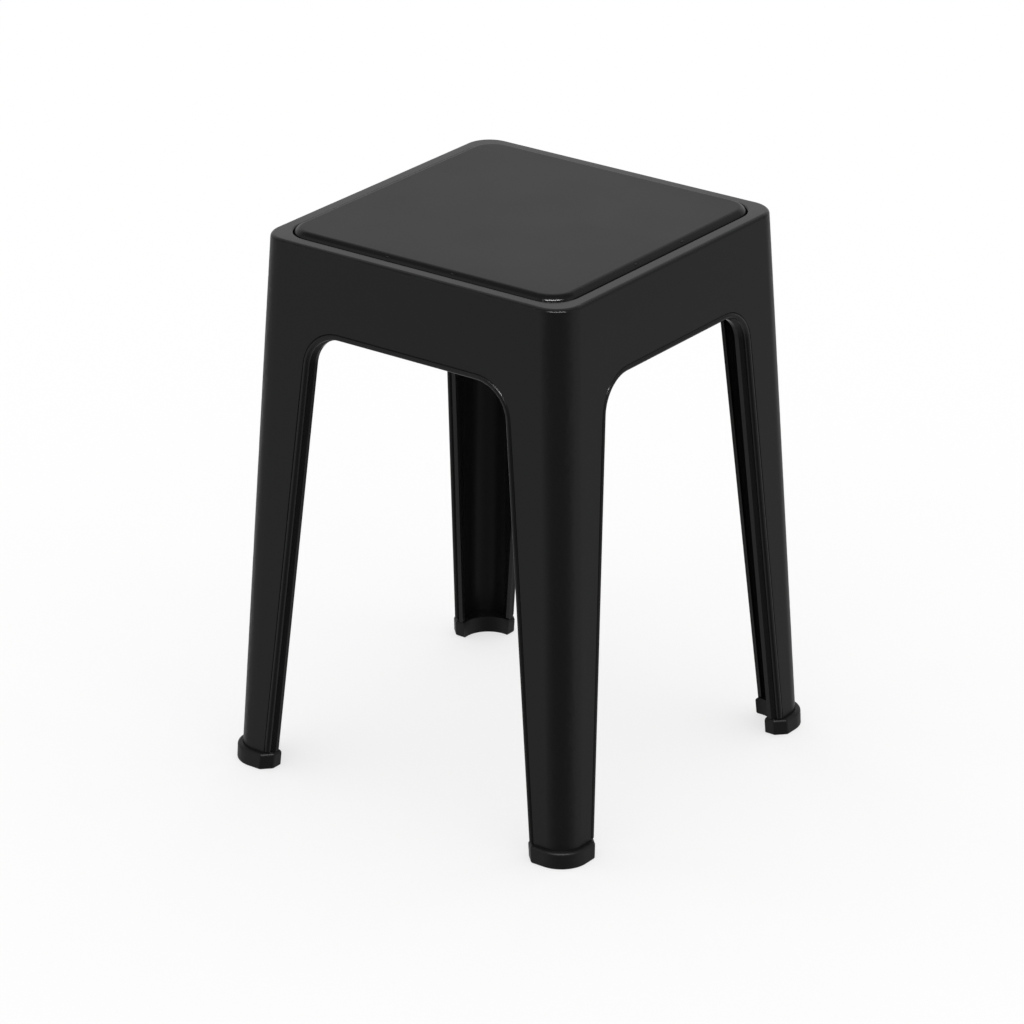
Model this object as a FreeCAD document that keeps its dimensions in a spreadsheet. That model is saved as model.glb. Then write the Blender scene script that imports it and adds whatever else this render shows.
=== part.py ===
import FreeCAD, Part
import math
import os
import Sketcher

# Stacking stool in moulded plastic, in millimetres
# The origin is on the floor under the middle of the seat, +Z is up, and the four
# legs stand in the corners of a square, so +X and +Y are square to its sides.

# Driving dimensions, each with its name in the sheet
SIZES = (
    ("rim_height", 450, "floor to the top of the seat rim"),
    ("rim_half", 145.5, "middle to the outer face, at the rim"),
    ("floor_half", 167.4, "middle to the outer face of a leg, at the floor"),
    ("rim_corner", 22.5, "corner radius in plan, at the rim"),
    ("floor_corner", 20, "corner radius in plan, at the floor"),
    ("rim_round", 3.5, "rolled outer edge of the rim"),
    ("rim_inner_round", 1.6, "rolled inner edge of the rim"),
    ("skin", 3, "wall of the shell"),
    ("apron", 71.7, "depth of the wall from the rim to the top of a side opening"),
    ("leg_top", 58.1, "width of a leg beside an opening, at the opening's top"),
    ("leg_floor", 38.1, "width of a leg beside an opening, at the floor"),
    ("arch_corner", 27.3, "radius of the upper corners of a side opening"),
    ("lip_depth", 7, "depth of the slanted lip around a side opening"),
    ("lip_end", 3.7, "blunt end of a lip, straight back from its slant"),
    ("lip_overrun", 1, "slant inside a lip, carried on past the lip's end"),
    ("bead_radius", 2.6, "radius of the bead along the outer edge of a lip"),
    ("bead_inset", 2.1, "middle of the bead behind the outer face"),
    ("bead_side", 4.6, "middle of the bead beside the opening"),
    ("bead_stop", 1.2, "foot to the lower ends of a bead"),
    ("mouth_round", 8, "corner radius of the clear space between the legs"),
    ("rim_width", 12.2, "outer face to the edge of the panel's recess"),
    ("recess_depth", 6, "rim down to the deck"),
    ("recess_corner", 23, "corner radius of the panel's recess"),
    ("deck_thickness", 3, "deck under the seat panel"),
    ("rib_count", 4, "deck ribs each way"),
    ("rib_pitch", 62, "spacing of the deck ribs"),
    ("rib_thickness", 2, "thickness of a deck rib"),
    ("rib_depth", 12, "depth of a deck rib under the deck"),
    ("panel_gap", 0.8, "joint between the seat panel and its recess"),
    ("panel_proud", 3.6, "seat panel above the rim"),
    ("panel_round", 6.5, "rolled edge of the seat panel"),
    ("panel_skin", 3, "wall of the seat panel"),
    ("panel_rib", 2, "thickness of a rib inside the seat panel"),
    ("pin_place", 62, "middle to a snap pin, along X and along Y"),
    ("pin_radius", 4, "stem of a snap pin"),
    ("pin_clearance", 0.3, "room around a snap pin, and under the deck"),
    ("barb_radius", 5.5, "widest radius of a snap pin's head"),
    ("barb_length", 5, "length of a snap pin's head"),
    ("pin_slot", 1.6, "slot that lets a snap pin close"),
    ("boot_height", 14, "height of a foot"),
    ("boot_proud", 4, "foot beyond the outer face of the leg"),
    ("boot_lip", 1.5, "foot beyond the leg, into the side opening"),
    ("boot_tip", 2.5, "foot beyond the lip of the leg, towards the middle"),
    ("boot_slant", 8, "slanted end of a foot, beside a side opening"),
    ("boot_end_round", 3, "rounded upright edges of a foot's slanted ends"),
    ("boot_sole", 3.5, "sole of a foot, under the end of the leg"),
    ("boot_shoulder", 2.6, "rounded shoulder of a foot"),
    ("boot_edge", 1.5, "rounded bottom edge of a foot"),
    ("boot_hollow", 10, "depth of the hollow inner side of a foot"),
    ("boot_clearance", 0.2, "room between a foot and the leg in it"),
)

# Corners of the stool: node name, then which way it lies along X and Y
CORNERS = (
    ("foot_front_right", 1, -1),
    ("foot_front_left", -1, -1),
    ("foot_rear_right", 1, 1),
    ("foot_rear_left", -1, 1),
)

doc = FreeCAD.newDocument("stacking_stool")
sheet = doc.addObject("Spreadsheet::Sheet", "Sizes")


def fill_sheet():
    for row, (name, value, meaning) in enumerate(SIZES, start=1):
        sheet.set("A%d" % row, meaning)
        sheet.set("B%d" % row, str(value))
        sheet.setAlias("B%d" % row, name)
    doc.recompute()


def number(expression):
    return float(sheet.evalExpression(expression))


# Sizes that follow from the driving ones, as expressions of the sheet
SLOPE = "(Sizes.floor_half - Sizes.rim_half) / Sizes.rim_height"
ARCH_TOP = "(Sizes.rim_height - Sizes.apron)"


def outer_half(height):
    return "(Sizes.floor_half - %s * (%s))" % (SLOPE, height)


def outer_corner(height):
    slope = "(Sizes.floor_corner - Sizes.rim_corner) / Sizes.rim_height"
    return "(Sizes.floor_corner - %s * (%s))" % (slope, height)


# Half width of a side opening: what a leg leaves free
def arch_half(height):
    taper = "(Sizes.leg_floor - Sizes.leg_top) / %s" % ARCH_TOP
    leg = "(Sizes.leg_floor - %s * (%s))" % (taper, height)
    return "(%s - %s)" % (outer_half(height), leg)


# Half width of the clear space between the legs, behind the lips
def clear_half(height):
    return "(%s - Sizes.lip_depth - Sizes.lip_end)" % outer_half(height)


DECK_TOP = "(Sizes.rim_height - Sizes.recess_depth)"
DECK_UNDER = "(%s - Sizes.deck_thickness)" % DECK_TOP
RECESS_HALF = "(Sizes.rim_half - Sizes.rim_width)"
PANEL_HALF = "(%s - Sizes.panel_gap)" % RECESS_HALF
PANEL_CORNER = "(Sizes.recess_corner - Sizes.panel_gap)"
PANEL_HEIGHT = "(Sizes.recess_depth + Sizes.panel_proud)"
PANEL_CEILING = "(%s + %s - Sizes.panel_skin)" % (DECK_TOP, PANEL_HEIGHT)
BARB_TOP = "(%s - Sizes.pin_clearance)" % DECK_UNDER
BARB_END = "(%s - Sizes.barb_length)" % BARB_TOP


def new_body(name):
    return doc.addObject("PartDesign::Body", name)


def plane_of(body, role):
    for feature in body.Origin.OriginFeatures:
        if feature.Role == role:
            return feature
    raise ValueError("no plane " + role)


def new_sketch(body, name, role, offset="0"):
    sketch = body.newObject("Sketcher::SketchObject", name)
    sketch.AttachmentSupport = [(plane_of(body, role), "")]
    sketch.MapMode = "FlatFace"
    sketch.setExpression("AttachmentOffset.Base.z", offset)
    return sketch


def hold(sketch, kind, *arguments):
    return sketch.addConstraint(Sketcher.Constraint(kind, *arguments))


# A sketch dimension that is tied to the sheet
def bind(sketch, name, expression, kind, *arguments):
    index = hold(sketch, kind, *arguments, number(expression))
    sketch.renameConstraint(index, name)
    sketch.setExpression("Constraints." + name, expression)


def arc(centre, radius, start, end):
    circle = Part.Circle(centre, FreeCAD.Vector(0, 0, 1), radius)
    return Part.ArcOfCircle(circle, start, end)


# Square with rounded corners about the origin, drawn anticlockwise
def draw_rounded_square(sketch, half, corner):
    h = number(half)
    r = number(corner)
    k = h - r
    ends = ((k, h), (-k, h), (-h, k), (-h, -k), (-k, -h), (k, -h), (h, -k), (h, k))
    points = [FreeCAD.Vector(x, y, 0) for x, y in ends]
    centres = [FreeCAD.Vector(x, y, 0) for x, y in ((-k, k), (-k, -k), (k, -k), (k, k))]
    sides = []
    corners = []
    for i in range(4):
        sides.append(sketch.addGeometry(Part.LineSegment(points[2 * i], points[2 * i + 1])))
        turn = (i + 1) * math.pi / 2
        corners.append(sketch.addGeometry(arc(centres[i], r, turn, turn + math.pi / 2)))
    for i in range(4):
        hold(sketch, "Tangent", sides[i], 2, corners[i], 1)
        hold(sketch, "Tangent", corners[i], 2, sides[(i + 1) % 4], 1)
    top, left, bottom, right = sides
    prefix = "s%d_" % top
    hold(sketch, "Horizontal", top)
    hold(sketch, "Horizontal", bottom)
    hold(sketch, "Vertical", left)
    hold(sketch, "Vertical", right)
    for i in range(3):
        hold(sketch, "Equal", corners[i], corners[i + 1])
    bind(sketch, prefix + "corner", corner, "Radius", corners[0])
    bind(sketch, prefix + "top", half, "DistanceY", -1, 1, top, 1)
    bind(sketch, prefix + "bottom", half, "DistanceY", bottom, 1, -1, 1)
    bind(sketch, prefix + "left", half, "DistanceX", left, 1, -1, 1)
    bind(sketch, prefix + "right", half, "DistanceX", -1, 1, right, 1)


def rounded_square(body, name, half, corner, height):
    sketch = new_sketch(body, name, "XY_Plane", height)
    draw_rounded_square(sketch, half, corner)
    return sketch


# Side opening seen from the side: slanted sides, flat top and rounded upper corners
# Its sides end at the height `low`, joined by a base line or left open.
def draw_arch(sketch, spread, low, closed):
    foot = "(%s + %s)" % (arch_half(low), spread)
    head = "(%s + %s)" % (arch_half(ARCH_TOP), spread)
    top = "(%s + %s)" % (ARCH_TOP, spread)
    corner = "(Sizes.arch_corner + %s)" % spread
    wf, wt, zf, zt, r = (number(e) for e in (foot, head, low, top, corner))
    z_head = number(ARCH_TOP)
    length = math.hypot(wt - wf, z_head - zf)
    ux = (wt - wf) / length
    uz = (z_head - zf) / length
    z_touch = zt - r - r * ux
    x_touch = wf + ux / uz * (z_touch - zf)
    x_centre = x_touch - r * uz
    start = math.atan2(-ux, uz)
    v = FreeCAD.Vector
    right = sketch.addGeometry(Part.LineSegment(v(wf, zf, 0), v(x_touch, z_touch, 0)))
    right_arc = sketch.addGeometry(arc(v(x_centre, zt - r, 0), r, start, math.pi / 2))
    crown = sketch.addGeometry(Part.LineSegment(v(x_centre, zt, 0), v(-x_centre, zt, 0)))
    left_arc = sketch.addGeometry(arc(v(-x_centre, zt - r, 0), r, math.pi / 2, math.pi - start))
    left = sketch.addGeometry(Part.LineSegment(v(-x_touch, z_touch, 0), v(-wf, zf, 0)))
    right_mark = sketch.addGeometry(Part.Point(v(wt, z_head, 0)), True)
    left_mark = sketch.addGeometry(Part.Point(v(-wt, z_head, 0)), True)
    hold(sketch, "Tangent", right, 2, right_arc, 1)
    hold(sketch, "Tangent", right_arc, 2, crown, 1)
    hold(sketch, "Tangent", crown, 2, left_arc, 1)
    hold(sketch, "Tangent", left_arc, 2, left, 1)
    hold(sketch, "Horizontal", crown)
    hold(sketch, "Equal", right_arc, left_arc)
    hold(sketch, "PointOnObject", right_mark, 1, right)
    hold(sketch, "PointOnObject", left_mark, 1, left)
    bind(sketch, "foot_right", foot, "DistanceX", -1, 1, right, 1)
    bind(sketch, "foot_left", foot, "DistanceX", left, 2, -1, 1)
    place_height(sketch, "low_right", right, 1, low)
    place_height(sketch, "low_left", left, 2, low)
    bind(sketch, "head_right", head, "DistanceX", -1, 1, right_mark, 1)
    bind(sketch, "head_left", head, "DistanceX", left_mark, 1, -1, 1)
    bind(sketch, "mark_right", ARCH_TOP, "DistanceY", -1, 1, right_mark, 1)
    bind(sketch, "mark_left", ARCH_TOP, "DistanceY", -1, 1, left_mark, 1)
    bind(sketch, "crown", top, "DistanceY", -1, 1, crown, 1)
    bind(sketch, "corner", corner, "Radius", right_arc)
    if closed:
        base = sketch.addGeometry(Part.LineSegment(v(-wf, zf, 0), v(wf, zf, 0)))
        hold(sketch, "Coincident", left, 2, base, 1)
        hold(sketch, "Coincident", base, 2, right, 1)


# Rectangle about the point (x, y)
def draw_rectangle(sketch, x, y, half_x, half_y):
    cx, cy, hx, hy = (number(e) for e in (x, y, half_x, half_y))
    v = FreeCAD.Vector
    low_left = v(cx - hx, cy - hy, 0)
    low_right = v(cx + hx, cy - hy, 0)
    high_right = v(cx + hx, cy + hy, 0)
    high_left = v(cx - hx, cy + hy, 0)
    bottom = sketch.addGeometry(Part.LineSegment(low_left, low_right))
    right = sketch.addGeometry(Part.LineSegment(low_right, high_right))
    top = sketch.addGeometry(Part.LineSegment(high_right, high_left))
    left = sketch.addGeometry(Part.LineSegment(high_left, low_left))
    middle = sketch.addGeometry(Part.Point(v(cx, cy, 0)), True)
    for first, second in ((bottom, right), (right, top), (top, left), (left, bottom)):
        hold(sketch, "Coincident", first, 2, second, 1)
    hold(sketch, "Horizontal", bottom)
    hold(sketch, "Horizontal", top)
    hold(sketch, "Vertical", left)
    hold(sketch, "Vertical", right)
    hold(sketch, "Symmetric", bottom, 1, top, 1, middle, 1)
    prefix = "r%d_" % bottom
    bind(sketch, prefix + "width", "2 * " + half_x, "DistanceX", bottom, 1, bottom, 2)
    bind(sketch, prefix + "height", "2 * " + half_y, "DistanceY", right, 1, right, 2)
    place_point(sketch, prefix, middle, 1, x, y)


# A signed place is held by a distance that is never negative
def place_along(sketch, name, axis, geometry, point, expression):
    value = number(expression)
    if value > 0:
        bind(sketch, name, expression, "Distance" + axis, -1, 1, geometry, point)
    elif value < 0:
        bind(sketch, name, "-(%s)" % expression, "Distance" + axis, geometry, point, -1, 1)
    else:
        hold(sketch, "PointOnObject", geometry, point, -2 if axis == "X" else -1)


def place_height(sketch, name, geometry, point, expression):
    place_along(sketch, name, "Y", geometry, point, expression)


def place_point(sketch, prefix, geometry, point, x, y):
    place_along(sketch, prefix + "x", "X", geometry, point, x)
    place_along(sketch, prefix + "y", "Y", geometry, point, y)


def draw_pin_circles(sketch, radius):
    place = number("Sizes.pin_place")
    for sx, sy in ((1, 1), (-1, 1), (-1, -1), (1, -1)):
        centre = FreeCAD.Vector(sx * place, sy * place, 0)
        circle = Part.Circle(centre, FreeCAD.Vector(0, 0, 1), number(radius))
        index = sketch.addGeometry(circle)
        prefix = "c%d_" % index
        bind(sketch, prefix + "radius", radius, "Radius", index)
        x = "(%d * Sizes.pin_place)" % sx
        y = "(%d * Sizes.pin_place)" % sy
        place_point(sketch, prefix, index, 3, x, y)


def loft(body, name, lower, upper):
    feature = body.newObject("PartDesign::AdditiveLoft", name)
    feature.Profile = lower
    feature.Sections = [upper]
    feature.Ruled = True
    return feature


def pad(body, name, sketch, length, downwards=False, taper=None):
    feature = body.newObject("PartDesign::Pad", name)
    feature.Profile = sketch
    feature.Reversed = downwards
    feature.setExpression("Length", length)
    if taper is not None:
        feature.TaperAngle = taper
    return feature


def pocket(body, name, sketch, length, upwards=False):
    feature = body.newObject("PartDesign::Pocket", name)
    feature.Profile = sketch
    feature.Reversed = upwards
    feature.setExpression("Length", length)
    return feature


def pocket_through(body, name, sketch):
    feature = body.newObject("PartDesign::Pocket", name)
    feature.Profile = sketch
    feature.SideType = "Symmetric"
    feature.Type = "ThroughAll"
    return feature


# Both pairs of side openings, cut down to below the floor so that nothing is left there
def cut_arches(body, spread):
    for role in ("XZ_Plane", "YZ_Plane"):
        sketch = new_sketch(body, "%s_arch_%s" % (body.Name, role[:2]), role)
        draw_arch(sketch, spread, "-Sizes.boot_sole", closed=True)
        pocket_through(body, sketch.Name + "_cut", sketch)


# Edges of the body's tip whose middle passes the test
def edges_where(body, test):
    doc.recompute()
    names = []
    for index, edge in enumerate(body.Tip.Shape.Edges, start=1):
        middle = edge.valueAt((edge.FirstParameter + edge.LastParameter) / 2)
        if test(middle):
            names.append("Edge%d" % index)
    if not names:
        raise ValueError("no edge found on " + body.Name)
    return names


def round_edges(body, name, test, radius):
    names = edges_where(body, test)
    base = body.Tip
    feature = body.newObject("PartDesign::Fillet", name)
    feature.Base = (base, names)
    feature.setExpression("Radius", radius)
    return feature


def slant_edges(body, name, test, size):
    names = edges_where(body, test)
    base = body.Tip
    feature = body.newObject("PartDesign::Chamfer", name)
    feature.Base = (base, names)
    feature.setExpression("Size", size)
    return feature


def at_height(height):
    level = number(height)
    return lambda p: abs(p.z - level) < 0.01


# Edges of the side openings on the faces that lie `inset` behind the outer ones
def along_arch(inset, spread, lowest):
    deep = number(inset)
    wide = number(spread)
    floor = number(lowest)
    crown = number("%s + %s" % (ARCH_TOP, spread))
    face_floor = number(outer_half("0")) - deep
    side_floor = number(arch_half("0")) + wide
    face_slope = number(SLOPE)
    side_slope = (number(arch_half("0")) - number(arch_half(ARCH_TOP))) / number(ARCH_TOP)

    def test(p):
        if p.z < floor + 0.05 or p.z > crown + 0.05:
            return False
        face = face_floor - face_slope * p.z
        side = side_floor - side_slope * p.z
        across = max(abs(p.x), abs(p.y))
        along = min(abs(p.x), abs(p.y))
        on_face = abs(across - face) < 0.05 and along < side + 1
        on_corner = abs(along - side) < 0.05 and across > side + 1
        return on_face or on_corner

    return test


# The stool's outer form between two heights, grown by a clearance, with its openings
# cut and a lip slanted at half a right angle around each of them
def outer_form(name, grow, low, high):
    body = new_body(name)
    half_low = "(%s + %s)" % (outer_half(low), grow)
    half_high = "(%s + %s)" % (outer_half(high), grow)
    corner_low = "(%s + %s)" % (outer_corner(low), grow)
    corner_high = "(%s + %s)" % (outer_corner(high), grow)
    lower = rounded_square(body, name + "_low", half_low, corner_low, low)
    upper = rounded_square(body, name + "_high", half_high, corner_high, high)
    loft(body, name + "_loft", lower, upper)
    cut_arches(body, "-" + grow)
    test = along_arch("-" + grow, "-" + grow, low)
    slant_edges(body, name + "_lip", test, "Sizes.lip_depth + (2 - sqrt(2)) * " + grow)
    return body


# The space inside the stool's walls, shrunk by a clearance
def inner_form(name, shrink, low, high):
    body = new_body(name)
    inset = "(Sizes.skin + %s)" % shrink
    half_low = "(%s - %s)" % (outer_half(low), inset)
    half_high = "(%s - %s)" % (outer_half(high), inset)
    corner_low = "(%s - %s)" % (outer_corner(low), inset)
    corner_high = "(%s - %s)" % (outer_corner(high), inset)
    lower = rounded_square(body, name + "_low", half_low, corner_low, low)
    upper = rounded_square(body, name + "_high", half_high, corner_high, high)
    loft(body, name + "_loft", lower, upper)
    behind_lip = "(sqrt(2) * %s - Sizes.lip_overrun)" % inset
    cut_arches(body, behind_lip)
    test = along_arch(inset, behind_lip, low)
    slant_edges(body, name + "_lip", test, "Sizes.lip_depth + Sizes.lip_overrun - " + inset)
    mouth_low = "(%s - %s)" % (clear_half(low), shrink)
    mouth_high = "(%s - %s)" % (clear_half(high), shrink)
    mouth_lower = rounded_square(body, name + "_mouth_low", mouth_low, "Sizes.mouth_round", low)
    mouth_upper = rounded_square(body, name + "_mouth_high", mouth_high, "Sizes.mouth_round", high)
    loft(body, name + "_mouth", mouth_lower, mouth_upper)
    return body


def cut(name, base, tool):
    feature = doc.addObject("Part::Cut", name)
    feature.Base = base
    feature.Tool = tool
    return feature


def fuse(name, shapes):
    feature = doc.addObject("Part::MultiFuse", name)
    feature.Shapes = shapes
    return feature


def mirror(name, source, normal):
    feature = doc.addObject("Part::Mirroring", name)
    feature.Source = source
    feature.Normal = FreeCAD.Vector(*normal)
    return feature


def box(name, x, y, z, length, width, height):
    feature = doc.addObject("Part::Box", name)
    feature.setExpression("Length", length)
    feature.setExpression("Width", width)
    feature.setExpression("Height", height)
    feature.setExpression("Placement.Base.x", x)
    feature.setExpression("Placement.Base.y", y)
    feature.setExpression("Placement.Base.z", z)
    return feature


# Recess for the seat panel, and holes in the deck for its snap pins
def cut_recess(body):
    recess = rounded_square(body, "recess", RECESS_HALF, "Sizes.recess_corner", "Sizes.rim_height")
    pocket(body, "recess_cut", recess, "Sizes.recess_depth")
    holes = new_sketch(body, "pin_holes", "XY_Plane", DECK_TOP)
    draw_pin_circles(holes, "(Sizes.pin_radius + Sizes.pin_clearance)")
    pocket(body, "pin_holes_cut", holes, "Sizes.deck_thickness + Sizes.skin")


# Upper edges of the recess, which lie inside the flat top of the rim
def recess_edges(p):
    level = number("Sizes.rim_height")
    middle = number(RECESS_HALF) + 1
    return abs(p.z - level) < 0.01 and max(abs(p.x), abs(p.y)) < middle


# Round bead along the outer edge of the front opening's lip, on a path that leans
# with the outer face, from just above one foot to just above the next
def make_front_bead():
    body = new_body("bead_front")
    path = new_sketch(body, "bead_path", "XZ_Plane", "Sizes.floor_half - Sizes.bead_inset")
    lean = "atan(%s)" % SLOPE
    angle = math.degrees(math.atan(number(SLOPE)))
    turn = FreeCAD.Rotation(FreeCAD.Vector(-1, 0, 0), angle)
    path.AttachmentOffset = FreeCAD.Placement(path.AttachmentOffset.Base, turn)
    path.setExpression("AttachmentOffset.Rotation.Angle", lean)
    low = "(Sizes.boot_height + Sizes.bead_stop)"
    draw_arch(path, "Sizes.bead_side", low, closed=False)
    doc.recompute()
    ring = body.newObject("Sketcher::SketchObject", "bead_section")
    ring.AttachmentSupport = [(path, "Edge1")]
    ring.MapMode = "NormalToEdge"
    ring.MapPathParameter = 0
    circle = Part.Circle(FreeCAD.Vector(0, 0, 0), FreeCAD.Vector(0, 0, 1), number("Sizes.bead_radius"))
    index = ring.addGeometry(circle)
    hold(ring, "Coincident", index, 3, -1, 1)
    bind(ring, "radius", "Sizes.bead_radius", "Radius", index)
    pipe = body.newObject("PartDesign::AdditivePipe", "bead_pipe")
    pipe.Profile = ring
    pipe.Spine = path
    return body


# The four beads: the front one and its mirror images
def make_beads():
    front = make_front_bead()
    rear = mirror("bead_rear", front, (0, 1, 0))
    left = mirror("bead_left", front, (1, -1, 0))
    right = mirror("bead_right", left, (1, 0, 0))
    return [front, rear, left, right]


# Channel under the rim, between the outer wall and the wall of the recess
def add_rim_channel(body):
    outer = "(Sizes.rim_half - Sizes.skin)"
    inner = "(%s + Sizes.skin)" % RECESS_HALF
    channel = new_sketch(body, "rim_channel", "XY_Plane", DECK_UNDER)
    draw_rounded_square(channel, outer, "(Sizes.rim_corner - Sizes.skin)")
    draw_rounded_square(channel, inner, "(Sizes.recess_corner + Sizes.skin)")
    depth = "Sizes.recess_depth + Sizes.deck_thickness - Sizes.skin"
    pad(body, "rim_channel_pad", channel, depth)


def deck_ribs():
    ribs = []
    reach = "(%s - Sizes.skin / 2)" % outer_half(DECK_UNDER)
    low = DECK_UNDER + " - Sizes.rib_depth"
    for index in range(int(number("Sizes.rib_count"))):
        across = "(%d - (Sizes.rib_count - 1) / 2) * Sizes.rib_pitch - Sizes.rib_thickness / 2" % index
        start = "-" + reach
        length = "2 * " + reach
        thick = "Sizes.rib_thickness"
        height = "Sizes.rib_depth"
        ribs.append(box("rib_x%d" % index, start, across, low, length, thick, height))
        ribs.append(box("rib_y%d" % index, across, start, low, thick, length, height))
    return ribs


# Shell: deck, apron, four legs and deck ribs in one moulding
def make_shell():
    form = outer_form("shell_outside", "0", "Sizes.boot_sole", "Sizes.rim_height")
    round_edges(form, "rim_roll", at_height("Sizes.rim_height"), "Sizes.rim_round")
    cut_recess(form)
    round_edges(form, "rim_inner_roll", recess_edges, "Sizes.rim_inner_round")
    beaded = fuse("shell_beaded", [form] + make_beads())
    space = inner_form("shell_inside", "0", "Sizes.boot_sole", DECK_UNDER)
    add_rim_channel(space)
    hollow = cut("shell_hollow", beaded, space)
    return fuse("shell", [hollow] + deck_ribs())


# Ribs inside the seat panel, which rest on the deck
def add_panel_ribs(body):
    reach = "(%s - Sizes.panel_skin / 2)" % PANEL_HALF
    thick = "(Sizes.panel_rib / 2)"
    place = "(Sizes.rib_pitch / 2)"
    height = "%s - Sizes.panel_skin / 2" % PANEL_HEIGHT
    along_x = new_sketch(body, "panel_ribs_x", "XY_Plane", DECK_TOP)
    along_y = new_sketch(body, "panel_ribs_y", "XY_Plane", DECK_TOP)
    for sign in (1, -1):
        offset = "(%d * %s)" % (sign, place)
        draw_rectangle(along_x, "0", offset, reach, thick)
        draw_rectangle(along_y, offset, "0", thick, reach)
    pad(body, "panel_ribs_x_pad", along_x, height)
    pad(body, "panel_ribs_y_pad", along_y, height)


# Snap pins: a stem through the deck, a tapered head under it and a slot across both
def add_snap_pins(body):
    stems = new_sketch(body, "pin_stems", "XY_Plane", PANEL_CEILING)
    draw_pin_circles(stems, "Sizes.pin_radius")
    pad(body, "pin_stems_pad", stems, "%s - %s" % (PANEL_CEILING, BARB_TOP), downwards=True)
    heads = new_sketch(body, "pin_heads", "XY_Plane", BARB_TOP)
    draw_pin_circles(heads, "Sizes.barb_radius")
    pad(body, "pin_heads_pad", heads, "Sizes.barb_length", downwards=True, taper=-20)
    slots = new_sketch(body, "pin_slots", "XY_Plane", BARB_END)
    for sx, sy in ((1, 1), (-1, 1), (-1, -1), (1, -1)):
        x = "(%d * Sizes.pin_place)" % sx
        y = "(%d * Sizes.pin_place)" % sy
        draw_rectangle(slots, x, y, "(Sizes.pin_slot / 2)", "(Sizes.barb_radius + 1)")
    depth = "Sizes.barb_length + Sizes.deck_thickness"
    pocket(body, "pin_slots_cut", slots, depth, upwards=True)


# Seat panel: a shallow tray turned over, with rolled edges, ribs and snap pins
def make_seat_panel():
    body = new_body("seat_panel")
    outline = rounded_square(body, "panel_outline", PANEL_HALF, PANEL_CORNER, DECK_TOP)
    pad(body, "panel_pad", outline, PANEL_HEIGHT)
    top = "%s + %s" % (DECK_TOP, PANEL_HEIGHT)
    round_edges(body, "panel_roll", at_height(top), "Sizes.panel_round")
    half = "(%s - Sizes.panel_skin)" % PANEL_HALF
    corner = "(%s - Sizes.panel_skin)" % PANEL_CORNER
    inside = rounded_square(body, "panel_inside", half, corner, DECK_TOP)
    pocket(body, "panel_inside_cut", inside, PANEL_HEIGHT + " - Sizes.panel_skin", upwards=True)
    add_panel_ribs(body)
    add_snap_pins(body)
    return body


# Outer form of the feet: proud of the legs, slanted beside the openings like the lips,
# with a rounded shoulder and bottom edge
def make_boot_outside():
    body = new_body("boot_outside")
    half = "(Sizes.floor_half + Sizes.boot_proud)"
    corner = "(Sizes.floor_corner + Sizes.boot_proud)"
    outline = rounded_square(body, "boot_outline", half, corner, "0")
    block = pad(body, "boot_block", outline, "Sizes.boot_height")
    block.setExpression("TaperAngle", "-atan(%s)" % SLOPE)
    cut_arches(body, "-Sizes.boot_lip")
    ends = along_arch("-Sizes.boot_proud", "-Sizes.boot_lip", "0")
    slant_edges(body, "boot_ends", upright(ends), "Sizes.boot_slant")
    round_edges(body, "boot_end_rounds", boot_end_edges, "Sizes.boot_end_round")
    round_edges(body, "boot_shoulder", outer_at("Sizes.boot_height"), "Sizes.boot_shoulder")
    round_edges(body, "boot_bottom", outer_at("0"), "Sizes.boot_edge")
    return body


def upright(test):
    top = number("Sizes.boot_height")
    return lambda p: 0.05 < p.z < top - 0.05 and test(p)


# Upright edges at both sides of a foot's slanted ends
def boot_end_edges(p):
    if not 0.05 < p.z < number("Sizes.boot_height") - 0.05:
        return False
    side = number(arch_half("%.6f" % p.z)) - number("Sizes.boot_lip")
    face = number(outer_half("%.6f" % p.z)) + number("Sizes.boot_proud")
    slant = number("Sizes.boot_slant")
    across = max(abs(p.x), abs(p.y))
    along = min(abs(p.x), abs(p.y))
    at_face = abs(across - face) < 0.1 and abs(along - side - slant) < 0.1
    at_side = abs(along - side) < 0.1 and abs(across - face + slant) < 0.1
    return at_face or at_side


# Edges at a height, but for those on the sides of the openings and towards the middle
def outer_at(height):
    level = number(height)
    side = number(arch_half(height)) - number("Sizes.boot_lip")
    return lambda p: abs(p.z - level) < 0.01 and min(abs(p.x), abs(p.y)) > side + 0.2


# Upright cylinder that hollows the inner side of the foot in one corner
def boot_scoop(name, sx, sy):
    near = "(%s - Sizes.boot_lip)" % arch_half("0")
    far = "(%s - Sizes.boot_tip)" % clear_half("0")
    middle = "((%s + %s) / 2)" % (near, far)
    chord = "((%s - %s) / sqrt(2))" % (far, near)
    radius = "((%s ^ 2 + Sizes.boot_hollow ^ 2) / (2 * Sizes.boot_hollow))" % chord
    place = "(%s - (%s - Sizes.boot_hollow) / sqrt(2))" % (middle, radius)
    feature = doc.addObject("Part::Cylinder", name)
    feature.setExpression("Radius", radius)
    feature.setExpression("Height", "3 * Sizes.boot_height")
    feature.setExpression("Placement.Base.x", "%d * %s" % (sx, place))
    feature.setExpression("Placement.Base.y", "%d * %s" % (sy, place))
    feature.setExpression("Placement.Base.z", "-Sizes.boot_height")
    return feature


# Space for the end of a leg: the leg's own section with the clearance all round
def make_leg_socket():
    low = "Sizes.boot_sole"
    high = "(2 * Sizes.boot_height)"
    outside = outer_form("socket_outside", "Sizes.boot_clearance", low, high)
    inside = inner_form("socket_inside", "Sizes.boot_clearance", low, high)
    return cut("leg_socket", outside, inside)


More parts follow.
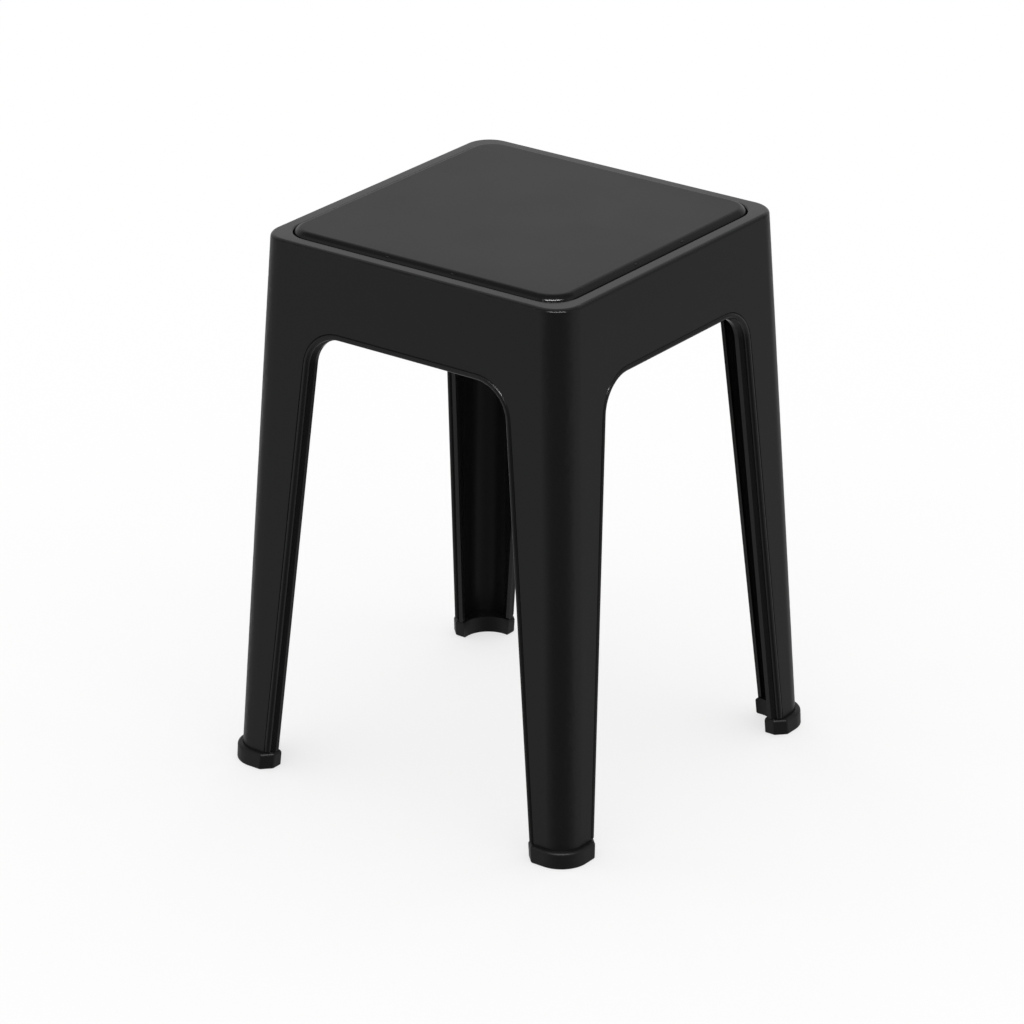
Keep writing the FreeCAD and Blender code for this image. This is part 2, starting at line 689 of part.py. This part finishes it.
# Feet: soft boots on the ends of the legs, one in each corner
def make_feet():
    outside = make_boot_outside()
    scoops = [boot_scoop("scoop_" + name, sx, sy) for name, sx, sy in CORNERS]
    tools = fuse("boot_spaces", scoops + [make_leg_socket()])
    ring = cut("boot_ring", outside, tools)
    feet = []
    side = "Sizes.floor_half + 2 * Sizes.boot_proud"
    for name, sx, sy in CORNERS:
        x = "0" if sx > 0 else "-(%s)" % side
        y = "0" if sy > 0 else "-(%s)" % side
        corner = box("corner_" + name, x, y, "-1", side, side, "3 * Sizes.boot_height")
        foot = doc.addObject("Part::Common", name)
        foot.Base = ring
        foot.Tool = corner
        feet.append(foot)
    return feet


def check(objects):
    for thing in doc.Objects:
        if "Invalid" in thing.State or "Error" in thing.State:
            raise RuntimeError("%s is not built: %s" % (thing.Name, thing.State))
    for thing in objects:
        shape = thing.Shape
        if shape.isNull() or not shape.isValid():
            raise RuntimeError(thing.Label + " has no valid shape")
        if len(shape.Solids) != 1:
            raise RuntimeError("%s has %d solids" % (thing.Label, len(shape.Solids)))
        size = shape.BoundBox
        print("%-18s %9.0f mm3  %.1f x %.1f x %.1f" % (
            thing.Label, shape.Volume, size.XLength, size.YLength, size.ZLength))


def write(objects):
    os.makedirs("parts", exist_ok=True)
    for thing in objects:
        thing.Shape.exportStep("parts/%s.step" % thing.Label)


fill_sheet()
nodes = [make_shell(), make_seat_panel()] + make_feet()
doc.recompute()
check(nodes)
write(nodes)
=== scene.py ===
"""Stacking stool in black moulded plastic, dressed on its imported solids."""

import math

import bmesh
import bpy
from mathutils import Matrix, Vector


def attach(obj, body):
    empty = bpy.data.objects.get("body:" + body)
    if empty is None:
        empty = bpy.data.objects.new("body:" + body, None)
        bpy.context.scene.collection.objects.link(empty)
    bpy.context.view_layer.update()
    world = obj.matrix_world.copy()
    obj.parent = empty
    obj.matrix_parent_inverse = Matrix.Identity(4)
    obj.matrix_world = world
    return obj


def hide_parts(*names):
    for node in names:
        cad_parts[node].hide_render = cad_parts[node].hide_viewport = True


bl_info = {
    "name": "Stacking stool",
    "version": (1, 0, 0),
    "blender": (4, 5, 0),
    "location": "View3D > Sidebar > Stool",
    "description": "Builds the stool's moulded pieces, their finishes and a plain studio",
    "category": "Object",
}

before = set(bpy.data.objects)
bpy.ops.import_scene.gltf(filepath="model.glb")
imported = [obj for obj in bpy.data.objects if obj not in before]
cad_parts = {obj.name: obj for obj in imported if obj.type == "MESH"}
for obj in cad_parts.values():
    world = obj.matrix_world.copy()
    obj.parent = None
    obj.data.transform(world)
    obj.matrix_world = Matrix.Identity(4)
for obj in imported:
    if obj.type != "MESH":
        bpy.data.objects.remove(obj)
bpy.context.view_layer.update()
BODY = "root"
FEET = ("foot_front_right", "foot_front_left", "foot_rear_right", "foot_rear_left")
MM = 0.001

# The shell's outer faces, which lean in from the floor to the rim
RIM_HEIGHT = 450 * MM
RIM_HALF = 145.5 * MM
FLOOR_HALF = 167.4 * MM
PANEL_TOP = 453.6 * MM

# The openings: height of their crowns, and the face kept beside the corner of each leg
ARCH_HEIGHT = 378.3 * MM
LEG_CORNER = 26 * MM

# Edges between faces that meet at more than this many degrees stay sharp
SHARP_ANGLE = 35

# The photograph's viewpoint, solved from the rim and the feet
CAMERA_AZIMUTH = 36.49
CAMERA_ELEVATION = 23.52
CAMERA_DISTANCE = 3.865
CAMERA_TARGET = (-0.0060, -0.0044, 0.2019)
CAMERA_LENS = 169.82
CAMERA_SENSOR = 36.0

# The strip lamp, seen from the seat: above the camera
LAMP_ELEVATION = 42
LAMP_DISTANCE = 3.0
LAMP_WIDTH = 3.0
LAMP_HEIGHT = 0.2

# The walls give way to the ceiling between these elevations
WALLS_END = 28
CEILING_START = 50

FLOOR_REACH = 12.0


class StoolFinish(bpy.types.PropertyGroup):
    """Colours and textures of the mouldings"""

    shell_colour: bpy.props.FloatVectorProperty(
        name="Shell colour", description="Colour of the shell's plastic",
        subtype="COLOR", size=3, min=0, max=1, default=(0.0055, 0.0055, 0.0057))
    panel_colour: bpy.props.FloatVectorProperty(
        name="Panel colour", description="Colour of the seat panel's plastic",
        subtype="COLOR", size=3, min=0, max=1, default=(0.0055, 0.0055, 0.0057))
    foot_colour: bpy.props.FloatVectorProperty(
        name="Foot colour", description="Colour of the feet's rubber",
        subtype="COLOR", size=3, min=0, max=1, default=(0.005, 0.005, 0.005))
    shell_roughness: bpy.props.FloatProperty(
        name="Shell roughness", description="Roughness of the shell's faces",
        subtype="FACTOR", default=0.34, min=0, max=1)
    panel_roughness: bpy.props.FloatProperty(
        name="Panel roughness", description="Roughness of the seat panel's top",
        subtype="FACTOR", default=0.36, min=0, max=1)
    foot_roughness: bpy.props.FloatProperty(
        name="Foot roughness", description="Roughness of the feet",
        subtype="FACTOR", default=0.44, min=0, max=1)
    plastic_spread: bpy.props.FloatProperty(
        name="Plastic spread", description="How far the plastic's roughness varies from place to place",
        default=0.08, min=0, max=0.3)
    rubber_spread: bpy.props.FloatProperty(
        name="Rubber spread", description="How far the rubber's roughness varies from place to place",
        default=0.05, min=0, max=0.3)
    # Painted sheen: a paler colour painted on top of the rim, where the light catches it
    painted_sheen_colour: bpy.props.FloatVectorProperty(
        name="Painted sheen colour", description="Plastic rubbed pale on top of the rim",
        subtype="COLOR", size=3, min=0, max=1, default=(0.028, 0.028, 0.029))
    polish: bpy.props.FloatProperty(
        name="Polish", description="How much smoother the plastic is on edges than on faces",
        subtype="FACTOR", default=0.18, min=0, max=0.3)
    grain_size: bpy.props.FloatProperty(
        name="Grain size", description="Size of one grain of the mould's spark texture",
        subtype="DISTANCE", unit="LENGTH", default=0.0007, min=0.0001)
    grain_depth: bpy.props.FloatProperty(
        name="Grain depth", description="Depth of the mould's spark texture",
        subtype="DISTANCE", unit="LENGTH", default=0.00003, min=0)


class StoolStage(bpy.types.PropertyGroup):
    """Light and floor of the plain studio"""

    daylight: bpy.props.FloatProperty(
        name="Soft light", description="Strength of the even light on matt surfaces",
        default=1.0, min=0)
    backdrop: bpy.props.FloatProperty(
        name="Backdrop", description="Brightness of the pale backdrop in reflections",
        default=0.49, min=0)
    far_sides: bpy.props.FloatProperty(
        name="Far sides", description="Brightness beside the stool, towards the backdrop",
        default=0.22, min=0)
    near_sides: bpy.props.FloatProperty(
        name="Near sides", description="Brightness beside the stool, towards the camera",
        default=0.35, min=0)
    front: bpy.props.FloatProperty(
        name="Front", description="Brightness of the dim room behind the camera in reflections",
        default=0.05, min=0)
    ceiling: bpy.props.FloatProperty(
        name="Ceiling", description="Ceiling's share of that brightness",
        subtype="FACTOR", default=0.4, min=0, max=1)
    lamp: bpy.props.FloatProperty(
        name="Lamp", description="Power of the strip lamp above the camera",
        subtype="POWER", unit="POWER", default=60.0, min=0)
    floor_shadow: bpy.props.FloatProperty(
        name="Floor shadow", description="How much of the stool's shadow shows on the floor",
        subtype="FACTOR", default=0.35, min=0, max=1)


# Finishes

def new_group(name, inputs, outputs):
    """A shader node group with named number sockets"""
    group = bpy.data.node_groups.new(name, "ShaderNodeTree")
    for label, value in inputs:
        socket = group.interface.new_socket(name=label, in_out="INPUT", socket_type="NodeSocketFloat")
        socket.default_value = value
    for label in outputs:
        group.interface.new_socket(name=label, in_out="OUTPUT", socket_type="NodeSocketFloat")
    return group


def node(tree, kind, **settings):
    """A new node with its settings"""
    made = tree.nodes.new(kind)
    for key, value in settings.items():
        setattr(made, key, value)
    return made


def math_node(tree, operation, first, second):
    """A math node fed by sockets or plain numbers"""
    made = node(tree, "ShaderNodeMath", operation=operation)
    for socket, source in zip(made.inputs, (first, second)):
        if isinstance(source, bpy.types.NodeSocket):
            tree.links.new(source, socket)
        else:
            socket.default_value = source
    return made.outputs[0]


def step_node(tree, value, low, high):
    """Smooth rise from 0 at low to 1 at high"""
    made = node(tree, "ShaderNodeMapRange", interpolation_type="SMOOTHSTEP")
    made.inputs["From Min"].default_value = low
    made.inputs["From Max"].default_value = high
    tree.links.new(value, made.inputs["Value"])
    return made.outputs[0]


def grain_group():
    """Fine spark texture of a mould, and faint broad variation in its polish"""
    group = new_group("mould_grain", (("Grain Size", 0.0007), ("Polish Spread", 0.04)),
                      ("Height", "Roughness Shift"))
    inside = node(group, "NodeGroupInput")
    outside = node(group, "NodeGroupOutput")
    place = node(group, "ShaderNodeTexCoord")
    fine = node(group, "ShaderNodeTexNoise")
    fine.inputs["Detail"].default_value = 3.0
    broad = node(group, "ShaderNodeTexNoise")
    broad.inputs["Scale"].default_value = 14.0
    broad.inputs["Detail"].default_value = 4.0
    links = group.links
    for texture in (fine, broad):
        links.new(place.outputs["Object"], texture.inputs["Vector"])
    links.new(math_node(group, "DIVIDE", 1.0, inside.outputs["Grain Size"]), fine.inputs["Scale"])
    links.new(fine.outputs["Fac"], outside.inputs["Height"])
    centred = math_node(group, "SUBTRACT", broad.outputs["Fac"], 0.5)
    shift = math_node(group, "MULTIPLY", centred, inside.outputs["Polish Spread"])
    links.new(shift, outside.inputs["Roughness Shift"])
    return group


def shell_edges_group():
    """Top of the rim, where a painted sheen makes it pale, and the smooth edges: rim, beads and lips of
    the openings
    """
    group = new_group("shell_edges", (("Patchiness", 0.35),), ("Painted Sheen", "Smooth"))
    inside = node(group, "NodeGroupInput")
    outside = node(group, "NodeGroupOutput")
    place = node(group, "ShaderNodeTexCoord")
    split = node(group, "ShaderNodeSeparateXYZ")
    links = group.links
    links.new(place.outputs["Object"], split.inputs[0])
    height = split.outputs["Z"]
    width = math_node(group, "ABSOLUTE", split.outputs["X"], 0)
    depth = math_node(group, "ABSOLUTE", split.outputs["Y"], 0)
    lean = (FLOOR_HALF - RIM_HALF) / RIM_HEIGHT
    outer = math_node(group, "SUBTRACT", FLOOR_HALF, math_node(group, "MULTIPLY", height, lean))
    proud = math_node(group, "SUBTRACT", math_node(group, "MAXIMUM", width, depth), outer)
    inset = math_node(group, "SUBTRACT", outer, math_node(group, "MINIMUM", width, depth))
    bead = step_node(group, proud, 0.05 * MM, 0.25 * MM)
    behind = step_node(group, proud, -0.1 * MM, -0.4 * MM)
    beside = step_node(group, inset, LEG_CORNER, LEG_CORNER + 4 * MM)
    under = step_node(group, height, ARCH_HEIGHT + 8 * MM, ARCH_HEIGHT + 4 * MM)
    lip = math_node(group, "MULTIPLY", math_node(group, "MULTIPLY", behind, beside), under)
    rim = step_node(group, height, RIM_HEIGHT - 4 * MM, RIM_HEIGHT - 1 * MM)
    # Mask of the painted sheen: the flat top of the rim, broken up in patches below
    top = step_node(group, height, RIM_HEIGHT - 1.5 * MM, RIM_HEIGHT - 0.3 * MM)
    smooth = math_node(group, "MAXIMUM", rim, math_node(group, "MAXIMUM", bead, lip))
    patches = node(group, "ShaderNodeTexNoise")
    patches.inputs["Scale"].default_value = 38.0
    patches.inputs["Detail"].default_value = 5.0
    links.new(place.outputs["Object"], patches.inputs["Vector"])
    loss = math_node(group, "MULTIPLY", patches.outputs["Fac"], inside.outputs["Patchiness"])
    kept = math_node(group, "SUBTRACT", 1.0, loss)
    links.new(math_node(group, "MULTIPLY", top, kept), outside.inputs["Painted Sheen"])
    links.new(smooth, outside.inputs["Smooth"])
    return group


def roll_group():
    """The panel's rolled edge, which the mould leaves smoother than the flat top"""
    group = new_group("rolled_edge", (("Top", 0.45),), ("Roll",))
    inside = node(group, "NodeGroupInput")
    outside = node(group, "NodeGroupOutput")
    place = node(group, "ShaderNodeTexCoord")
    split = node(group, "ShaderNodeSeparateXYZ")
    group.links.new(place.outputs["Object"], split.inputs[0])
    below = math_node(group, "SUBTRACT", inside.outputs["Top"], split.outputs["Z"])
    group.links.new(step_node(group, below, 0.05 * MM, 0.8 * MM), outside.inputs["Roll"])
    return group


def only_node(tree, kind):
    """The one node of a kind in a tree"""
    return next(found for found in tree.nodes if found.bl_idname == kind)


def smooth_where(material, mask, polish):
    """Less roughness and no grain where the mask is 1"""
    tree = material.node_tree
    skin = only_node(tree, "ShaderNodeBsdfPrincipled")
    bump = only_node(tree, "ShaderNodeBump")
    rough = skin.inputs["Roughness"].links[0].from_socket
    gloss = math_node(tree, "MULTIPLY", mask, polish)
    tree.links.new(math_node(tree, "SUBTRACT", rough, gloss), skin.inputs["Roughness"])
    grain = bump.inputs["Height"].links[0].from_socket
    left = math_node(tree, "SUBTRACT", 1.0, mask)
    tree.links.new(math_node(tree, "MULTIPLY", grain, left), bump.inputs["Height"])


def smooth_roll(material, finish):
    """Smoother plastic on the rolled edge of the panel"""
    edge = node(material.node_tree, "ShaderNodeGroup")
    edge.node_tree = roll_group()
    edge.inputs["Top"].default_value = PANEL_TOP
    smooth_where(material, edge.outputs["Roll"], finish.polish)


def finish_edges(material, finish):
    """Painted sheen that makes the top of the rim pale, and smoother rim, beads and lips"""
    tree = material.node_tree
    skin = only_node(tree, "ShaderNodeBsdfPrincipled")
    edges = node(tree, "ShaderNodeGroup")
    edges.node_tree = shell_edges_group()
    tone = skin.inputs["Base Color"].links[0].from_socket
    # Painted sheen: the rim's top is mixed towards the pale colour
    painted = node(tree, "ShaderNodeMix", data_type="RGBA")
    painted.inputs["B"].default_value = (*finish.painted_sheen_colour, 1)
    tree.links.new(edges.outputs["Painted Sheen"], painted.inputs["Factor"])
    tree.links.new(tone, painted.inputs["A"])
    tree.links.new(painted.outputs["Result"], skin.inputs["Base Color"])
    smooth_where(material, edges.outputs["Smooth"], finish.polish)


def moulded(name, colour, roughness, spread, finish):
    """Satin moulded plastic or rubber: grain in the bump, polish in the roughness"""
    material = bpy.data.materials.new(name)
    material.use_nodes = True
    tree = material.node_tree
    tree.nodes.clear()
    out = node(tree, "ShaderNodeOutputMaterial")
    skin = node(tree, "ShaderNodeBsdfPrincipled")
    texture = node(tree, "ShaderNodeGroup")
    texture.node_tree = bpy.data.node_groups.get("mould_grain") or grain_group()
    texture.inputs["Grain Size"].default_value = finish.grain_size
    texture.inputs["Polish Spread"].default_value = spread
    grain = texture.outputs["Height"]
    tone = node(tree, "ShaderNodeMix", data_type="RGBA")
    tone.inputs["A"].default_value = (*colour, 1)
    tone.inputs["B"].default_value = (*(1.25 * c for c in colour), 1)
    bump = node(tree, "ShaderNodeBump")
    bump.inputs["Distance"].default_value = finish.grain_depth
    bump.inputs["Strength"].default_value = 1.0
    polish = math_node(tree, "ADD", texture.outputs["Roughness Shift"], roughness)
    links = tree.links
    links.new(math_node(tree, "MULTIPLY", grain, 0.5), tone.inputs["Factor"])
    links.new(tone.outputs["Result"], skin.inputs["Base Color"])
    links.new(polish, skin.inputs["Roughness"])
    links.new(grain, bump.inputs["Height"])
    links.new(bump.outputs["Normal"], skin.inputs["Normal"])
    links.new(skin.outputs["BSDF"], out.inputs["Surface"])
    return material


# Pieces

def finished_copy(source, name, material):
    """A CAD node's surface, merged and smoothed, that stands for the node"""
    mesh = source.data.copy()
    mesh.name = name
    work = bmesh.new()
    work.from_mesh(mesh)
    bmesh.ops.remove_doubles(work, verts=work.verts, dist=1e-6)
    bmesh.ops.dissolve_degenerate(work, edges=work.edges, dist=1e-6)
    for face in work.faces:
        face.smooth = True
    limit = math.radians(SHARP_ANGLE)
    for edge in work.edges:
        edge.smooth = len(edge.link_faces) == 2 and edge.calc_face_angle(0) < limit
    work.to_mesh(mesh)
    work.free()
    mesh.materials.clear()
    mesh.materials.append(material)
    piece = bpy.data.objects.new(name, mesh)
    bpy.context.scene.collection.objects.link(piece)
    even = piece.modifiers.new("even_shading", "WEIGHTED_NORMAL")
    even.keep_sharp = True
    even.weight = 100
    graph = bpy.context.evaluated_depsgraph_get()
    plain = bpy.data.meshes.new_from_object(piece.evaluated_get(graph), depsgraph=graph)
    piece.modifiers.clear()
    piece.data = plain
    return piece


def dress(node_name, piece_name, material):
    """A finished piece that replaces a CAD node, which it hides"""
    piece = finished_copy(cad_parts[node_name], piece_name, material)
    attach(piece, BODY)
    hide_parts(node_name)
    return piece


class STOOL_OT_shell(bpy.types.Operator):
    """Shell of the stool: deck, apron and four legs"""

    bl_idname = "stool.shell"
    bl_label = "Shell"

    def execute(self, context):
        finish = context.scene.stool_finish
        plastic = moulded("shell_plastic", finish.shell_colour, finish.shell_roughness,
                          finish.plastic_spread, finish)
        finish_edges(plastic, finish)
        dress("shell", "shell_moulding", plastic)
        return {"FINISHED"}


class STOOL_OT_panel(bpy.types.Operator):
    """Seat panel in the recess of the shell"""

    bl_idname = "stool.seat_panel"
    bl_label = "Seat panel"

    def execute(self, context):
        finish = context.scene.stool_finish
        plastic = moulded("panel_plastic", finish.panel_colour, finish.panel_roughness,
                          finish.plastic_spread, finish)
        smooth_roll(plastic, finish)
        dress("seat_panel", "seat_panel_moulding", plastic)
        return {"FINISHED"}


class STOOL_OT_feet(bpy.types.Operator):
    """Four soft feet on the ends of the legs"""

    bl_idname = "stool.feet"
    bl_label = "Feet"

    def execute(self, context):
        finish = context.scene.stool_finish
        rubber = moulded("foot_rubber", finish.foot_colour, finish.foot_roughness,
                         finish.rubber_spread, finish)
        for name in FEET:
            dress(name, name + "_boot", rubber)
        return {"FINISHED"}


# Studio

def aimed(position, target):
    """Turn that points an object's -Z from position to target, with Y up"""
    back = (position - target).normalized()
    right = Vector((0, 0, 1)).cross(back).normalized()
    up = back.cross(right)
    turn = Matrix((right, up, back)).transposed().to_4x4()
    return Matrix.Translation(position) @ turn


def viewpoint():
    """The photograph's place: from above the front right corner"""
    azimuth = math.radians(CAMERA_AZIMUTH)
    elevation = math.radians(CAMERA_ELEVATION)
    target = Vector(CAMERA_TARGET)
    away = Vector((math.sin(azimuth) * math.cos(elevation),
                   -math.cos(azimuth) * math.cos(elevation), math.sin(elevation)))
    return target + CAMERA_DISTANCE * away, target


def towards_camera():
    """Level direction from the stool to the camera"""
    position, target = viewpoint()
    return (position - target).to_2d().normalized()


def lamp_offset():
    """From the seat to the lamp: in line with the camera, but higher"""
    elevation = math.radians(LAMP_ELEVATION)
    level = towards_camera() * math.cos(elevation) * LAMP_DISTANCE
    return Vector((*level, math.sin(elevation) * LAMP_DISTANCE))


def add_camera(scene):
    """Camera at the photograph's place"""
    position, target = viewpoint()
    data = bpy.data.cameras.new("viewpoint")
    data.sensor_width = CAMERA_SENSOR
    data.lens = CAMERA_LENS
    data.clip_end = 100
    camera = bpy.data.objects.new("viewpoint", data)
    camera.matrix_world = aimed(position, target)
    scene.collection.objects.link(camera)
    scene.camera = camera


def background(tree, strength):
    """White world light of a strength"""
    made = node(tree, "ShaderNodeBackground")
    made.inputs["Color"].default_value = (1, 1, 1, 1)
    made.inputs["Strength"].default_value = strength
    return made


def reflected_room(tree, stage):
    """Brightness of the room by direction: pale behind the stool, dim behind the camera"""
    place = node(tree, "ShaderNodeTexCoord")
    across = node(tree, "ShaderNodeVectorMath", operation="DOT_PRODUCT")
    across.inputs[1].default_value = (*towards_camera(), 0)
    share = node(tree, "ShaderNodeMapRange")
    share.inputs["From Min"].default_value = -1.0
    walls = node(tree, "ShaderNodeValToRGB")
    ramp = walls.color_ramp
    stops = ((0.05, stage.backdrop), (0.36, stage.far_sides),
             (0.64, stage.near_sides), (0.93, stage.front))
    for index, (at, level) in enumerate(stops):
        stop = ramp.elements[index] if index < 1 else ramp.elements.new(at)
        stop.position = at
        stop.color = (level, level, level, 1)
    ramp.elements.remove(ramp.elements[len(stops)])
    height = node(tree, "ShaderNodeSeparateXYZ")
    roof = node(tree, "ShaderNodeMapRange", interpolation_type="SMOOTHSTEP")
    roof.inputs["From Min"].default_value = math.sin(math.radians(WALLS_END))
    roof.inputs["From Max"].default_value = math.sin(math.radians(CEILING_START))
    roof.inputs["To Min"].default_value = 1.0
    roof.inputs["To Max"].default_value = stage.ceiling
    links = tree.links
    links.new(place.outputs["Generated"], across.inputs[0])
    links.new(across.outputs["Value"], share.inputs["Value"])
    links.new(share.outputs[0], walls.inputs[0])
    links.new(place.outputs["Generated"], height.inputs[0])
    links.new(height.outputs["Z"], roof.inputs["Value"])
    return math_node(tree, "MULTIPLY", walls.outputs["Color"], roof.outputs[0])


def studio_world(stage):
    """Even light on the stool, the room in its reflections, white to the camera"""
    world = bpy.data.worlds.new("studio")
    world.use_nodes = True
    tree = world.node_tree
    tree.nodes.clear()
    out = node(tree, "ShaderNodeOutputWorld")
    path = node(tree, "ShaderNodeLightPath")
    seen = math_node(tree, "MAXIMUM", path.outputs["Is Camera Ray"],
                     path.outputs["Is Transmission Ray"])
    light = background(tree, stage.daylight)
    room = background(tree, 1.0)
    white = background(tree, 1.0)
    inner = node(tree, "ShaderNodeMixShader")
    outer = node(tree, "ShaderNodeMixShader")
    links = tree.links
    links.new(reflected_room(tree, stage), room.inputs["Strength"])
    links.new(path.outputs["Is Glossy Ray"], inner.inputs[0])
    links.new(light.outputs[0], inner.inputs[1])
    links.new(room.outputs[0], inner.inputs[2])
    links.new(seen, outer.inputs[0])
    links.new(inner.outputs[0], outer.inputs[1])
    links.new(white.outputs[0], outer.inputs[2])
    links.new(outer.outputs[0], out.inputs["Surface"])
    return world


def floor_material(stage):
    """Pale floor that keeps the stool's shadow and is clear from below"""
    material = bpy.data.materials.new("pale_floor")
    material.use_nodes = True
    tree = material.node_tree
    tree.nodes.clear()
    out = node(tree, "ShaderNodeOutputMaterial")
    path = node(tree, "ShaderNodeLightPath")
    bounce = node(tree, "ShaderNodeBsdfDiffuse")
    bounce.inputs["Color"].default_value = (0.8, 0.8, 0.8, 1)
    shade = node(tree, "ShaderNodeBsdfDiffuse")
    pale = stage.floor_shadow
    shade.inputs["Color"].default_value = (pale, pale, pale, 1)
    glow = node(tree, "ShaderNodeEmission")
    glow.inputs["Strength"].default_value = 1 - pale
    shown = node(tree, "ShaderNodeAddShader")
    mix = node(tree, "ShaderNodeMixShader")
    below = node(tree, "ShaderNodeNewGeometry")
    clear = node(tree, "ShaderNodeBsdfTransparent")
    sides = node(tree, "ShaderNodeMixShader")
    links = tree.links
    links.new(shade.outputs[0], shown.inputs[0])
    links.new(glow.outputs[0], shown.inputs[1])
    links.new(path.outputs["Is Camera Ray"], mix.inputs[0])
    links.new(bounce.outputs[0], mix.inputs[1])
    links.new(shown.outputs[0], mix.inputs[2])
    links.new(below.outputs["Backfacing"], sides.inputs[0])
    links.new(mix.outputs[0], sides.inputs[1])
    links.new(clear.outputs[0], sides.inputs[2])
    links.new(sides.outputs[0], out.inputs["Surface"])
    return material


def add_floor(scene, stage):
    """Square of pale floor under the stool, left out of the reflections"""
    reach = FLOOR_REACH
    mesh = bpy.data.meshes.new("floor")
    corners = [(-reach, -reach, 0), (reach, -reach, 0), (reach, reach, 0), (-reach, reach, 0)]
    mesh.from_pydata(corners, [], [(0, 1, 2, 3)])
    mesh.materials.append(floor_material(stage))
    floor = bpy.data.objects.new("floor", mesh)
    floor.visible_glossy = False
    scene.collection.objects.link(floor)


def add_lamp(scene, stage):
    """A strip lamp that shows as a highlight and leaves the even light as it is"""
    data = bpy.data.lights.new("front_lamp", "AREA")
    data.shape = "RECTANGLE"
    data.size = LAMP_WIDTH
    data.size_y = LAMP_HEIGHT
    data.energy = stage.lamp
    seat = Vector((0, 0, RIM_HEIGHT))
    lamp = bpy.data.objects.new("front_lamp", data)
    lamp.matrix_world = aimed(seat + lamp_offset(), seat)
    lamp.visible_diffuse = False
    scene.collection.objects.link(lamp)


class STOOL_OT_stage(bpy.types.Operator):
    """Plain pale floor, soft light and the camera"""

    bl_idname = "stool.stage"
    bl_label = "Studio"

    def execute(self, context):
        scene = context.scene
        stage = scene.stool_stage
        scene.view_settings.view_transform = "Standard"
        scene.world = studio_world(stage)
        add_floor(scene, stage)
        add_lamp(scene, stage)
        add_camera(scene)
        return {"FINISHED"}


class STOOL_PT_sidebar(bpy.types.Panel):
    """Buttons for the stool's pieces"""

    bl_idname = "STOOL_PT_sidebar"
    bl_label = "Stacking stool"
    bl_space_type = "VIEW_3D"
    bl_region_type = "UI"
    bl_category = "Stool"

    def draw(self, context):
        layout = self.layout
        for operator in OPERATORS:
            layout.operator(operator.bl_idname)
        for group in (context.scene.stool_finish, context.scene.stool_stage):
            box = layout.box()
            for name in group.bl_rna.properties.keys():
                if name not in ("rna_type", "name"):
                    box.prop(group, name)


SETTINGS = (
    ("stool_finish", StoolFinish),
    ("stool_stage", StoolStage),
)
OPERATORS = (STOOL_OT_stage, STOOL_OT_shell, STOOL_OT_panel, STOOL_OT_feet)


def register():
    """Add the settings, the buttons and the sidebar to Blender"""
    for name, group in SETTINGS:
        bpy.utils.register_class(group)
        setattr(bpy.types.Scene, name, bpy.props.PointerProperty(type=group))
    for operator in OPERATORS:
        bpy.utils.register_class(operator)
    bpy.utils.register_class(STOOL_PT_sidebar)


def unregister():
    """Take them out again, last first"""
    bpy.utils.unregister_class(STOOL_PT_sidebar)
    for operator in reversed(OPERATORS):
        bpy.utils.unregister_class(operator)
    for name, group in reversed(SETTINGS):
        delattr(bpy.types.Scene, name)
        bpy.utils.unregister_class(group)


def main():
    """Build the stage and the pieces"""
    register()
    bpy.ops.stool.stage()
    bpy.ops.stool.shell()
    bpy.ops.stool.seat_panel()
    bpy.ops.stool.feet()


if __name__ == "__main__":
    main()
